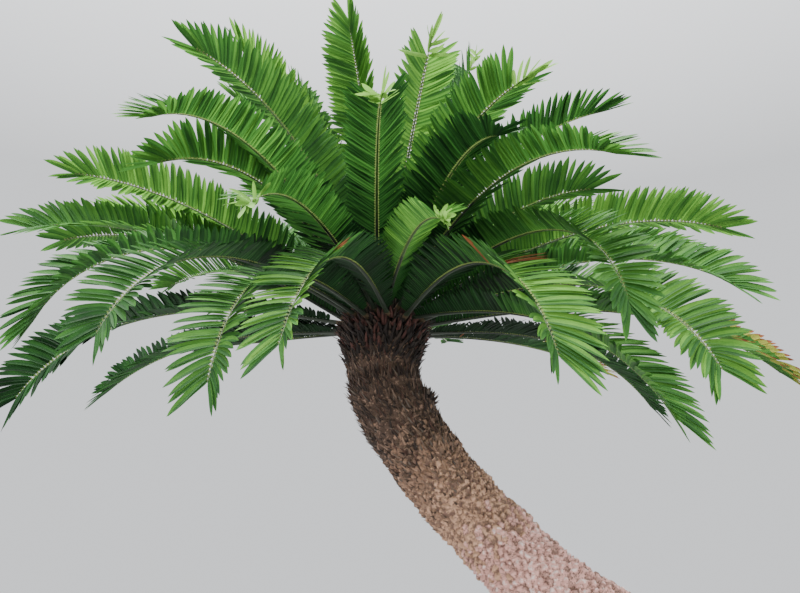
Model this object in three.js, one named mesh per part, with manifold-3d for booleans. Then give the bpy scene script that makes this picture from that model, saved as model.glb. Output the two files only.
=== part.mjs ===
// Bread palm: a leaning trunk armoured with old leaf bases, a ring of dry scales round its neck,
// and a full crown of arching fronds, planted in a plain round pot.
// Millimetres, +Z up, origin at the middle of the pot's underside. For someone who faces the
// plant, +X is to the right and +Y is away.
import * as THREE from 'three';
import { mergeVertices } from 'three/addons/utils/BufferGeometryUtils.js';
import Module from 'manifold-3d';

const wasm = await Module();
wasm.setup();

// Sizes.
const GAP = 0.3; // clearance between pieces that touch

const POT_HEIGHT = 700;
const POT_FOOT_RADIUS = 420;
const POT_TOP_RADIUS = 490;
const POT_WALL = 32;
const POT_FLOOR = 45;
const POT_RIM = { height: 70, width: 24 };
const SOIL_TOP = 620;

// The trunk's centre line and radius, from the soil to the neck under the crown.
const TRUNK_STATIONS = [
  { at: [0, 0, SOIL_TOP + GAP], radius: 262 },
  { at: [-70, 25, 850], radius: 225 },
  { at: [-264, 105, 1190], radius: 202 },
  { at: [-650, 230, 1500], radius: 190 },
  { at: [-827, 290, 1690], radius: 183 },
  { at: [-1035, 360, 1920], radius: 179 },
  { at: [-1200, 425, 2145], radius: 182 },
  { at: [-1345, 465, 2390], radius: 188 },
  { at: [-1388, 485, 2540], radius: 180 },
  { at: [-1390, 500, 2700], radius: 205 },
];
const TRUNK_SIDES = 20;
const TRUNK_RINGS = 36;
const TRUNK_LEAN_NORMAL = new THREE.Vector3(0.34, 0.94, 0); // square to the plane that it leans in
const FLUSH_BANDS = { count: 11, swell: 0.022 }; // a swollen band for each flush of old leaves

const HEAD = new THREE.Vector3(-1390, 500, 2800); // middle of the growing head
const HEAD_BASE = 2700 + 2 * GAP;
const HEAD_PROFILE = [ // radius, height above the head's flat underside
  [215, 0], [215, 36], [205, 91], [170, 146], [125, 186], [70, 212], [0, 220],
];
const HEAD_SIDES = 16;
const FROND_RING = { radius: 190, rise: 100 }; // the dome that the fronds' feet stand on

const COLLAR = { foot: 2590, top: 2752, footRadius: 196, topRadius: 256, points: 20, jag: 26 };

const BUDS = [
  { name: 'offset_bud_right', at: [-1178, 455, 2405], radius: 72, height: 118 },
  { name: 'offset_bud_left', at: [-1420, 395, 2205], radius: 52, height: 92 },
];

// The crown: fronds are numbered from the youngest, in the middle, to the oldest, outside.
const FRONDS = 52;
const SEED = 13535;
const TURN = 137.508; // degrees from one frond to the next
const FIRST_AZIMUTH = 266.3;
const RISE_SINE = { young: 0.967, old: 0.13, power: 0.784 };
const ARCH = { young: 25, old: 50, front: 31, spread: 4, power: 2 };
const LENGTH = { young: 1500, old: 1800, ageRate: 1.285, spread: 0.06 };
const CROWN_TILT = { back: 13.2, right: -2.6 }; // the crown faces the light behind it
const ROLL = 25;
const FACING = 60; // how far old side fronds twist to show their upper faces at the front
const SWAY = 13.6;
// Fronds that sit a little off the rule: azimuth, rise, arch, length and sway added to it.
const SET_BY_EYE = {
  0: [24.5, -5, -0.5, -120, -5.5],
  1: [11.5, 26.5, -29, 280, -0.5],
  2: [10.5, 3.5, -10.5, 50, 1.5],
  3: [14.5, 3, 23, 70, 10],
  5: [-5.5, 13, 20.5, 130, -13],
  6: [-5.5, 25, -22.5, 220, -5.5],
  7: [18, 8.5, 11, 200, 8],
  8: [9.5, 0.5, 10.5, 40, 7.5],
  10: [8, 22, 1.5, 100, -2],
  11: [0, 8, 14, -300, 0],
  12: [25, -12, 0, 0, 0],
  13: [21.5, -6.5, 7.5, -50, 11],
  14: [-10, 0, 10, 80, 0],
  15: [16.5, -14.5, 1.5, 240, -4],
  16: [-22, -4, 17, -20, 7.5],
  18: [14.5, 0.5, 24, -50, -2],
  19: [-9.5, 1, 16, 100, 4],
  20: [12, -12, 10, 100, 0],
  21: [4, -13.5, -11, -80, 0],
  23: [4.5, 0.5, -4, 40, 2.5],
  24: [-17, -7.5, 43, 140, -9.5],
  26: [7.5, 10, 17.5, 120, 3.5],
  27: [-12, 0, 14, 100, 0],
  28: [25, 4, 8, 100, 0],
  29: [-5, 5.5, 5.5, 50, 8.5],
  31: [11.5, -0.5, 40, 0, 4],
  32: [-4.5, 0.5, 18, -30, -3.5],
  33: [15, 0, 0, 0, 0],
  34: [-10.5, -1, -6.5, -10, -5],
  35: [-22, -2, 6, 100, 0],
  36: [9.5, 3.5, 6, 50, 0],
  37: [-1, -15.5, -7.5, -100, -0.5],
  39: [10.5, 0.5, 11, 10, -0.5],
  40: [-14.5, -9.5, 8, 210, -3],
  41: [-6, -13, -41, -10, 9],
  42: [-18, 0.5, 0, 20, -4.5],
  43: [-12, -15.5, -21, 10, -4.5],
  44: [-9, -2.5, 14, 0, -1.5],
  45: [-15, 5.5, 13.5, -70, -8],
  46: [19.5, -8.5, -36, 10, 11],
  47: [3.5, 3.5, -0.5, -10, 4],
  49: [-13, -8.5, -16, -80, 2.5],
  50: [-17, 10.5, -6.5, 70, -7],
  51: [0, 4, -20, 0, 0],
};

// frond: turn about its own rib
const TURNED_BY_EYE = { 15: 30, 18: 35, 19: -40, 23: 50, 29: -25, 36: -20, 39: 12, 42: 4, 47: 12, 50: -62 };
const RIB = { width: [36, 6], height: [30, 5] }; // at the foot and at the tip
const LEAFLET_ROWS = 22;
const FIRST_LEAFLET = 0.1; // share of the frond's length that is bare stalk
const LEAFLET = { length: 200, sweep: [8, 34], sweepPower: 2.5, fan: 34, raise: [38, 33] };
// Fronds with shorter leaflets.
const LEAFLET_SHARE = {
  13: 0.86, 16: 0.86, 21: 0.62, 24: 0.9, 26: 0.88, 29: 0.88, 34: 0.72, 37: 0.9, 39: 0.86, 42: 0.86, 47: 0.86,
};
const TERMINAL_LEAFLET = 70;
const CLEAR = 1; // smallest gap between two fronds

const COLOURS = {
  pot: [0x9a8f84, 0.85],
  soil: [0x3a2c22, 0.95],
  trunk: [0x8f7460, 0.9],
  head: [0x4a3226, 0.9],
  collar: [0x4b2a20, 0.9],
  bud: [0x33261d, 0.9],
  young: [0x6f9f3d, 0.5],
  old: [0x2f5a2b, 0.5],
};

const group = new THREE.Group();

// Helpers.
const radians = THREE.MathUtils.degToRad;
const mix = THREE.MathUtils.lerp;

function add(name, geometry, [colour, roughness]) {
  geometry.computeVertexNormals();
  const material = new THREE.MeshStandardMaterial({ color: colour, roughness, metalness: 0 });
  const mesh = new THREE.Mesh(geometry, material);
  mesh.name = name;
  group.add(mesh);
  return mesh;
}

function geometryFrom(points, faces) {
  const geometry = new THREE.BufferGeometry();
  const flat = points.flatMap((p) => [p.x, p.y, p.z]);
  geometry.setAttribute('position', new THREE.Float32BufferAttribute(flat, 3));
  geometry.setIndex(faces.flat());
  return geometry;
}

function toSolid(geometry) {
  const bare = geometry.clone();
  bare.deleteAttribute('normal');
  bare.deleteAttribute('uv');
  const merged = mergeVertices(bare, 1e-4);
  const triples = [];
  for (let k = 0; k < merged.index.count; k += 3) {
    const [a, b, c] = [0, 1, 2].map((m) => merged.index.getX(k + m));
    if (a !== b && b !== c && c !== a) triples.push(a, b, c);
  }
  return new wasm.Manifold(new wasm.Mesh({
    numProp: 3,
    vertProperties: new Float32Array(merged.attributes.position.array),
    triVerts: new Uint32Array(triples),
  }));
}

function fromSolid(solid) {
  const mesh = solid.getMesh();
  const geometry = new THREE.BufferGeometry();
  geometry.setAttribute('position', new THREE.BufferAttribute(mesh.vertProperties, 3));
  geometry.setIndex(new THREE.BufferAttribute(mesh.triVerts, 1));
  return geometry;
}

function lathe(profile, sides) {
  // A turned shape round the Z axis, from (radius, height) pairs.
  const points = profile.map(([radius, height]) => new THREE.Vector2(radius, height));
  const geometry = new THREE.LatheGeometry(points, sides);
  return geometry.rotateX(Math.PI / 2);
}

function makeDraws(seed) {
  // Repeatable draws between -1 and 1.
  let state = seed;
  return () => {
    state = (state * 16807) % 2147483647;
    return (2 * state) / 2147483647 - 1;
  };
}

// Trunk.
function blend(a, b, c, d, t) {
  // A smooth curve from b to c that heads away from a and towards d.
  const bend = 2 * b + (c - a) * t;
  const middle = (2 * a - 5 * b + 4 * c - d) * t * t;
  return 0.5 * (bend + middle + (3 * b - a - 3 * c + d) * t ** 3);
}

function trunkAt(share) {
  const last = TRUNK_STATIONS.length - 1;
  const whole = Math.min(Math.floor(share * last), last - 1);
  const t = share * last - whole;
  const near = [-1, 0, 1, 2].map((k) => (
    TRUNK_STATIONS[THREE.MathUtils.clamp(whole + k, 0, last)]));
  const value = (pick) => blend(...near.map(pick), t);
  const centre = new THREE.Vector3(...[0, 1, 2].map((k) => value((s) => s.at[k])));
  return { centre, radius: value((s) => s.radius) };
}

function trunkRing(k, grow) {
  const share = k / TRUNK_RINGS;
  const { centre, radius } = trunkAt(share);
  const along = trunkAt(Math.min(share + 0.01, 1)).centre.sub(trunkAt(Math.max(share - 0.01, 0)).centre);
  if (k === 0 || k === TRUNK_RINGS) along.set(0, 0, 1); // cut level at the soil and at the neck
  along.normalize();
  const across = new THREE.Vector3().crossVectors(TRUNK_LEAN_NORMAL, along).normalize();
  const through = new THREE.Vector3().crossVectors(along, across);
  const wave = Math.cos(2 * Math.PI * FLUSH_BANDS.count * share);
  const band = share < 0.06 || share > 0.94 ? 0 : FLUSH_BANDS.swell * wave;
  const reach = radius * (1 + band) + grow;
  const ring = [];
  for (let j = 0; j < TRUNK_SIDES; j += 1) {
    const angle = (2 * Math.PI * j) / TRUNK_SIDES;
    const point = centre.clone().addScaledVector(across, reach * Math.cos(angle));
    ring.push(point.addScaledVector(through, reach * Math.sin(angle)));
  }
  return { ring, centre };
}

function skin(rings, startCentre, endCentre) {
  // Closes a stack of rings of equal count into one solid.
  const sides = rings[0].length;
  const points = rings.flat().concat([startCentre, endCentre]);
  const start = points.length - 2;
  const end = points.length - 1;
  const faces = [];
  for (let k = 0; k < rings.length - 1; k += 1) {
    for (let j = 0; j < sides; j += 1) {
      const a = k * sides + j;
      const b = k * sides + ((j + 1) % sides);
      faces.push([a, b, b + sides], [a, b + sides, a + sides]);
    }
  }
  const top = (rings.length - 1) * sides;
  for (let j = 0; j < sides; j += 1) {
    faces.push([start, (j + 1) % sides, j]);
    faces.push([end, top + j, top + ((j + 1) % sides)]);
  }
  return geometryFrom(points, faces);
}

function trunkGeometry(grow = 0) {
  const stack = [];
  for (let k = 0; k <= TRUNK_RINGS; k += 1) stack.push(trunkRing(k, grow));
  return skin(stack.map((s) => s.ring), stack[0].centre, stack.at(-1).centre);
}

// Head, collar and buds.
function headGeometry(grow = 0) {
  const profile = [[0, -grow]];
  HEAD_PROFILE.forEach(([radius, height], k) => {
    const last = k === HEAD_PROFILE.length - 1;
    profile.push([last ? 0 : radius + grow, height + (k === 0 ? -grow : grow)]);
  });
  return lathe(profile, HEAD_SIDES).translate(HEAD.x, HEAD.y, HEAD_BASE);
}

function collarRing(height, radius, jag) {
  const ring = [];
  for (let j = 0; j < 2 * COLLAR.points; j += 1) {
    const angle = (Math.PI * j) / COLLAR.points;
    const out = radius + (j % 2 ? 0 : jag);
    const x = HEAD.x + out * Math.cos(angle);
    const y = HEAD.y + out * Math.sin(angle);
    ring.push(new THREE.Vector3(x, y, height + (j % 2 ? -jag : 0)));
  }
  return ring;
}

function collarGeometry() {
  // A funnel of dry scales, its rim cut to points, fitted round the neck and the head.
  const rings = [
    collarRing(COLLAR.foot, COLLAR.footRadius, 4),
    collarRing(mix(COLLAR.foot, COLLAR.top, 0.5), mix(COLLAR.footRadius, COLLAR.topRadius, 0.6), 9),
    collarRing(COLLAR.top, COLLAR.topRadius - COLLAR.jag, COLLAR.jag),
    collarRing(COLLAR.top - 16, 150, 0),
  ];
  const foot = new THREE.Vector3(HEAD.x, HEAD.y, COLLAR.foot);
  const top = new THREE.Vector3(HEAD.x, HEAD.y, COLLAR.top - 16);
  const whole = toSolid(skin(rings, foot, top));
  const fitted = whole.subtract(toSolid(trunkGeometry(GAP + 0.1)));
  return fromSolid(fitted.subtract(toSolid(headGeometry(GAP + 0.1))));
}

function budGeometry({ at, radius, height }) {
  // A round offset shoot, cut to sit against the trunk.
  const profile = [[0, -0.5], [0.62, -0.42], [0.98, -0.12], [0.9, 0.18], [0.5, 0.42], [0, 0.58]];
  const shape = lathe(profile.map(([r, h]) => [r * radius, h * height]), 10).translate(...at);
  return fromSolid(toSolid(shape).subtract(toSolid(trunkGeometry(GAP + 0.1))));
}

// Fronds.
function frondRule(i, draw) {
  // How frond i leaves the head, from its place in the spiral.
  const age = i / (FRONDS - 1);
  const j = [draw(), draw(), draw(), draw(), draw(), draw()];
  const set = SET_BY_EYE[i] ?? [0, 0, 0, 0, 0];
  const azimuth = FIRST_AZIMUTH + i * TURN + 6 * j[0];
  const toBack = Math.sin(radians(azimuth));
  const toRight = Math.cos(radians(azimuth));
  const sine = mix(RISE_SINE.young, RISE_SINE.old, age ** RISE_SINE.power);
  const lean = CROWN_TILT.back * toBack + CROWN_TILT.right * toRight;
  const droop = ARCH.front * Math.max(0, -toBack) * age;
  const size = mix(LENGTH.young, LENGTH.old, Math.min(1, age * LENGTH.ageRate));
  return {
    i,
    age,
    foot: FIRST_AZIMUTH + i * TURN,
    azimuth: azimuth + set[0],
    rise: THREE.MathUtils.radToDeg(Math.asin(sine)) + 4 * j[1] + lean + set[1],
    arch: mix(ARCH.young, ARCH.old, age) + ARCH.spread * j[2] + droop + set[2],
    length: size * (1 + LENGTH.spread * j[3]) + set[3],
    roll: ROLL * j[4] + FACING * toRight * Math.max(0, age - 0.25) / 0.75 + (TURNED_BY_EYE[i] ?? 0),
    sway: SWAY * j[5] + set[4],
  };
}

function ribFrame(rule, s) {
  // Directions at share s of the rib: along it, across the blade, and out of its upper face.
  const climb = radians(rule.rise - rule.arch * s ** ARCH.power);
  const heading = radians(rule.azimuth + rule.sway * s * s);
  const flat = Math.cos(climb);
  const along = new THREE.Vector3(flat * Math.cos(heading), flat * Math.sin(heading), Math.sin(climb));
  const across = new THREE.Vector3(-Math.sin(heading), Math.cos(heading), 0);
  const upper = new THREE.Vector3().crossVectors(along, across);
  const turn = radians(rule.roll * s);
  return {
    s,
    age: rule.age,
    reach: LEAFLET.length * (LEAFLET_SHARE[rule.i] ?? 1),
    along,
    side: across.clone().multiplyScalar(Math.cos(turn)).addScaledVector(upper, Math.sin(turn)),
    upper: upper.clone().multiplyScalar(Math.cos(turn)).addScaledVector(across, -Math.sin(turn)),
  };
}

function frondFoot(rule) {
  const out = FROND_RING.radius * Math.sqrt((rule.i + 0.5) / FRONDS);
  const turn = radians(rule.foot);
  const height = FROND_RING.rise * (1 - (out / FROND_RING.radius) ** 2);
  return HEAD.clone().add(new THREE.Vector3(out * Math.cos(turn), out * Math.sin(turn), height));
}

function ribCurve(rule) {
  // Points along the rib in small steps, then one frame for each row of leaflets.
  const steps = 4 * (LEAFLET_ROWS + 2);
  const line = [frondFoot(rule)];
  for (let k = 0; k < steps; k += 1) {
    const { along } = ribFrame(rule, (k + 0.5) / steps);
    line.push(line[k].clone().addScaledVector(along, rule.length / steps));
  }
  const pointAt = (s) => {
    const whole = Math.min(Math.floor(s * steps), steps - 1);
    return line[whole].clone().lerp(line[whole + 1], s * steps - whole);
  };
  const stations = [0];
  for (let k = 0; k <= LEAFLET_ROWS; k += 1) {
    stations.push(mix(FIRST_LEAFLET, 1, k / LEAFLET_ROWS));
  }
  return stations.map((s) => ({ ...ribFrame(rule, s), centre: pointAt(s) }));
}

function headFaces() {
  // The flat faces of the head, as outward normal and distance.
  const position = headGeometry().toNonIndexed().attributes.position;
  const faces = [];
  for (let k = 0; k < position.count; k += 3) {
    const [a, b, c] = [0, 1, 2].map((m) => new THREE.Vector3().fromBufferAttribute(position, k + m));
    const normal = b.clone().sub(a).cross(c.clone().sub(a));
    if (normal.length() < 1) continue;
    normal.normalize();
    faces.push({ normal, distance: normal.dot(a) });
  }
  return faces;
}

function seatOnHead(rib, faces) {
  // Cuts the rib's foot in the plane of the head's face that it stands on, a hair clear of it.
  const foot = rib[0];
  let nearest = null;
  for (const face of faces) {
    const facing = face.normal.dot(foot.along);
    if (facing < 0.05) continue;
    const reach = (face.distance - face.normal.dot(foot.centre)) / facing;
    if (!nearest || reach < nearest.reach) nearest = { reach, face };
  }
  foot.cut = nearest.face;
}

function ribSection(station) {
  // Four corners, clockwise seen along the rib: right low, right high, left high, left low.
  const half = mix(...RIB.width, station.s) / 2;
  const tall = mix(...RIB.height, station.s) / 2;
  return [[-1, -1], [-1, 1], [1, 1], [1, -1]].map(([x, y]) => {
    const corner = station.centre.clone().addScaledVector(station.side, x * half);
    corner.addScaledVector(station.upper, y * tall);
    if (!station.cut) return corner;
    const { normal, distance } = station.cut;
    const reach = (distance + GAP - normal.dot(corner)) / normal.dot(station.along);
    return corner.addScaledVector(station.along, reach);
  });
}

function leafletLength({ s, reach }) {
  const start = Math.min(1, 0.35 + 2.6 * (s - FIRST_LEAFLET));
  const end = 1 - 0.15 * Math.max(0, (s - 0.8) / 0.2) ** 1.5;
  return reach * start * end;
}

function leafletDirection(station, hand) {
  // Old fronds open out flatter towards their tips.
  const { smoothstep } = THREE.MathUtils;
  const opened = smoothstep(station.s, 0.1, 0.6) * smoothstep(station.age, 0.2, 0.8);
  const raise = radians(mix(...LEAFLET.raise, opened));
  const fan = LEAFLET.fan * smoothstep(station.s, 0.88, 1);
  const leaning = LEAFLET.sweep[1] * (1 - 0.45 * smoothstep(station.age, 0.5, 1));
  const sweep = radians(mix(LEAFLET.sweep[0], leaning, station.s ** LEAFLET.sweepPower) + fan);
  const out = station.side.clone().multiplyScalar(hand * Math.cos(raise));
  out.addScaledVector(station.upper, Math.sin(raise));
  return out.multiplyScalar(Math.cos(sweep)).addScaledVector(station.along, Math.sin(sweep));
}

// Keeping fronds apart.
function convex(points, shape) {
  // A small convex piece with the directions that can part it from another.
  const edges = shape.edges.map(([a, b]) => points[b].clone().sub(points[a]).normalize());
  const normals = shape.faces.map(([a, b, c]) => {
    const ab = points[b].clone().sub(points[a]);
    return ab.cross(points[c].clone().sub(points[a])).normalize();
  });
  const centre = points.reduce((sum, p) => sum.add(p), new THREE.Vector3()).divideScalar(points.length);
  const radius = Math.max(...points.map((p) => p.distanceTo(centre)));
  return { points, normals, edges, centre, radius };
}

function spanAlong(piece, axis) {
  let low = Infinity;
  let high = -Infinity;
  for (const point of piece.points) {
    const reach = axis.dot(point);
    low = Math.min(low, reach);
    high = Math.max(high, reach);
  }
  return { low, high };
}

function partedBy(axis, a, b) {
  const first = spanAlong(a, axis);
  const second = spanAlong(b, axis);
  return first.low - second.high > CLEAR || second.low - first.high > CLEAR;
}

function apart(a, b) {
  if (a.centre.distanceTo(b.centre) > a.radius + b.radius + CLEAR) return true;
  for (const axis of a.normals) if (partedBy(axis, a, b)) return true;
  for (const axis of b.normals) if (partedBy(axis, a, b)) return true;
  const axis = new THREE.Vector3();
  for (const first of a.edges) {
    for (const second of b.edges) {
      axis.crossVectors(first, second);
      if (axis.lengthSq() > 1e-6 && partedBy(axis.normalize(), a, b)) return true;
    }
  }
  return false;
}

const RIB_STEP = { // eight corners: the near section, then the far one
  faces: [
    [0, 1, 2], [4, 5, 6], [0, 1, 4], [1, 4, 5], [1, 2, 5],
    [2, 5, 6], [2, 3, 6], [3, 6, 7], [3, 0, 7], [0, 7, 4],
  ],
  edges: [[0, 1], [1, 2], [4, 5], [5, 6], [0, 4], [1, 5], [2, 6], [3, 7]],
};
const BLADE = { // four corners at the root, then the tip
  faces: [[0, 1, 4], [1, 2, 4], [2, 3, 4], [3, 0, 4], [0, 1, 2], [2, 3, 0]],
  edges: [[0, 1], [1, 2], [2, 3], [3, 0], [0, 4], [1, 4], [2, 4], [3, 4]],
};

function ribPieces(sections) {
  return sections.slice(1).map((far, k) => convex([...sections[k], ...far], RIB_STEP));
}

// Building the crown.
function leafletRoot(frond, row, hand) {
  // The four corners on the rib's side that one leaflet grows from, low and high, near and far.
  const near = frond.sections[row];
  const far = frond.sections[row + 1];
  const [low, high] = hand < 0 ? [0, 1] : [3, 2];
  return [near[low], near[high], far[high], far[low]];
}

function growLeaflet(frond, row, hand, others) {
  // The longest leaflet for this place that stays clear of every other frond, or none.
  const root = leafletRoot(frond, row, hand);
  const middle = root.reduce((sum, p) => sum.add(p), new THREE.Vector3()).divideScalar(4);
  const station = frond.rib[row];
  const direction = leafletDirection(station, hand);
  for (const share of [1, 0.8, 0.6, 0.4]) {
    const tip = middle.clone().addScaledVector(direction, share * leafletLength(station));
    const blade = convex([...root, tip], BLADE);
    blade.frond = frond.rule.i;
    const near = others.filter((o) => o.frond !== blade.frond);
    if (near.every((other) => apart(blade, other))) {
      others.push(blade);
      return tip;
    }
  }
  return null;
}

function frondGeometry(frond) {
  const points = frond.sections.flat();
  const faces = [];
  const last = frond.sections.length - 1;
  const quad = (a, b, c, d) => faces.push([a, b, c], [a, c, d]);
  quad(0, 1, 2, 3);
  for (let row = 0; row < last; row += 1) {
    const n = 4 * row;
    quad(n + 1, n + 5, n + 6, n + 2);
    quad(n + 3, n + 7, n + 4, n);
    closeSide(points, faces, [n, n + 4, n + 5, n + 1], frond.tips[row]?.right);
    closeSide(points, faces, [n + 2, n + 6, n + 7, n + 3], frond.tips[row]?.left);
  }
  const n = 4 * last;
  closeSide(points, faces, [n + 3, n + 2, n + 1, n], frond.end);
  return geometryFrom(points, faces);
}

function closeSide(points, faces, [a, b, c, d], tip) {
  // Covers one side of the rib, flat or with a leaflet that tapers to its tip.
  if (!tip) {
    faces.push([a, b, c], [a, c, d]);
    return;
  }
  points.push(tip);
  const t = points.length - 1;
  faces.push([a, b, t], [b, c, t], [c, d, t], [d, a, t]);
}

function growCrown() {
  const draw = makeDraws(SEED);
  const faces = headFaces();
  const fronds = [];
  const pieces = [];
  for (let i = 0; i < FRONDS; i += 1) {
    const rule = frondRule(i, draw);
    const rib = ribCurve(rule);
    seatOnHead(rib, faces);
    const sections = rib.map(ribSection);
    const tip = rib.at(-1);
    const end = tip.centre.clone().addScaledVector(tip.along, TERMINAL_LEAFLET);
    const whole = ribPieces(sections);
    whole.push(convex([...sections.at(-1), end], BLADE));
    whole.forEach((piece) => { piece.frond = i; });
    pieces.push(...whole);
    fronds.push({ rule, rib, sections, end, tips: [] });
  }
  for (let row = LEAFLET_ROWS; row >= 1; row -= 1) {
    for (const frond of fronds) {
      frond.tips[row] = {
        right: growLeaflet(frond, row, -1, pieces),
        left: growLeaflet(frond, row, 1, pieces),
      };
    }
  }
  return fronds;
}

// Pot and soil.
function potRadius(height) {
  return mix(POT_FOOT_RADIUS, POT_TOP_RADIUS, height / POT_HEIGHT);
}

function potGeometry() {
  const rimFoot = POT_HEIGHT - POT_RIM.height;
  const rimRadius = POT_TOP_RADIUS + POT_RIM.width;
  return lathe([
    [0, 0],
    [POT_FOOT_RADIUS - 8, 0],
    [POT_FOOT_RADIUS, 8],
    [potRadius(rimFoot), rimFoot],
    [rimRadius, rimFoot + 14],
    [rimRadius, POT_HEIGHT - 10],
    [rimRadius - 10, POT_HEIGHT],
    [POT_TOP_RADIUS - POT_WALL + 6, POT_HEIGHT],
    [potRadius(POT_FLOOR) - POT_WALL, POT_FLOOR],
    [0, POT_FLOOR],
  ], 32);
}

function soilGeometry() {
  // Fills the pot to the soil line, a hair inside its wall and above its floor.
  const wallAt = (height) => {
    const foot = potRadius(POT_FLOOR) - POT_WALL;
    const share = (height - POT_FLOOR) / (POT_HEIGHT - POT_FLOOR);
    return mix(foot, POT_TOP_RADIUS - POT_WALL + 6, share);
  };
  const floor = POT_FLOOR + GAP;
  return lathe([
    [0, floor],
    [wallAt(floor) - GAP - 0.1, floor],
    [wallAt(SOIL_TOP) - GAP - 0.1, SOIL_TOP],
    [0, SOIL_TOP],
  ], 32);
}

// The whole plant.
function frondColour(age) {
  const young = new THREE.Color(COLOURS.young[0]);
  return [young.lerp(new THREE.Color(COLOURS.old[0]), age), COLOURS.young[1]];
}

add('pot', potGeometry(), COLOURS.pot);
add('soil', soilGeometry(), COLOURS.soil);
add('trunk', trunkGeometry(), COLOURS.trunk);
add('crown_head', headGeometry(), COLOURS.head);
add('collar', collarGeometry(), COLOURS.collar);
for (const bud of BUDS) add(bud.name, budGeometry(bud), COLOURS.bud);
for (const frond of growCrown()) {
  const name = `frond_${String(frond.rule.i + 1).padStart(2, '0')}`;
  add(name, frondGeometry(frond), frondColour(frond.rule.age));
}

export default group;
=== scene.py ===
"""A bread palm in a plain pot: the looks of every piece, grown from the same rule as its solids.

Metres and degrees, +Z up, origin at the middle of the pot's underside. For someone who faces the
plant, +X is to the right and +Y is away.
"""

import math

import bpy
import numpy as np
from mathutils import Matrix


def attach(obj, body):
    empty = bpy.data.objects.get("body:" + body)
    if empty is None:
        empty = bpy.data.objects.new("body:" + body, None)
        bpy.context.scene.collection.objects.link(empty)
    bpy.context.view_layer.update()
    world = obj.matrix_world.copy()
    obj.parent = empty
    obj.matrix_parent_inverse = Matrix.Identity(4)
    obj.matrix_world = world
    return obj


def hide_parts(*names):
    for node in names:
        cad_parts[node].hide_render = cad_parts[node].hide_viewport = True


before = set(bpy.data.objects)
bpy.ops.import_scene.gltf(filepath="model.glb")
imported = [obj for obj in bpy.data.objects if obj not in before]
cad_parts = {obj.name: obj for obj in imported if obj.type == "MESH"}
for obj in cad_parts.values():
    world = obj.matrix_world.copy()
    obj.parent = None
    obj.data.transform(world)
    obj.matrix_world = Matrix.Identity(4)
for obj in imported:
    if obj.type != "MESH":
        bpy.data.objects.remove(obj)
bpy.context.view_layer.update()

# Sizes shared with the solids.
POT_HEIGHT = 0.700
POT_FOOT_RADIUS = 0.420
POT_TOP_RADIUS = 0.490
POT_WALL = 0.032
POT_FLOOR = 0.045
POT_RIM_HEIGHT = 0.070
POT_RIM_WIDTH = 0.024
SOIL_TOP = 0.620

TRUNK_STATIONS = np.array([  # x, y, z and radius, from the soil to the neck
    (0.000, 0.000, 0.6203, 0.262),
    (-0.070, 0.025, 0.850, 0.225),
    (-0.264, 0.105, 1.190, 0.202),
    (-0.650, 0.230, 1.500, 0.190),
    (-0.827, 0.290, 1.690, 0.183),
    (-1.035, 0.360, 1.920, 0.179),
    (-1.200, 0.425, 2.145, 0.182),
    (-1.345, 0.465, 2.390, 0.188),
    (-1.388, 0.485, 2.540, 0.180),
    (-1.390, 0.500, 2.700, 0.205),
])
TRUNK_LEAN_NORMAL = np.array([0.34, 0.94, 0.0])
FLUSH_BANDS = 11
FLUSH_SWELL = 0.022

HEAD = np.array([-1.390, 0.500, 2.800])
HEAD_BASE = 2.7006
HEAD_PROFILE = np.array([  # radius and height, from the foot to the top
    (0.215, 0.0), (0.215, 0.036), (0.205, 0.091), (0.170, 0.146), (0.125, 0.186),
    (0.070, 0.212), (0.0, 0.220),
])
FROND_RING_RADIUS = 0.190
FROND_RING_RISE = 0.100
COLLAR_FOOT, COLLAR_TOP = 2.590, 2.752
COLLAR_FOOT_RADIUS, COLLAR_TOP_RADIUS = 0.196, 0.256
BUDS = {  # middle, radius and height
    "offset_bud_right": ((-1.178, 0.455, 2.405), 0.072, 0.118),
    "offset_bud_left": ((-1.420, 0.395, 2.205), 0.052, 0.092),
}

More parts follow.
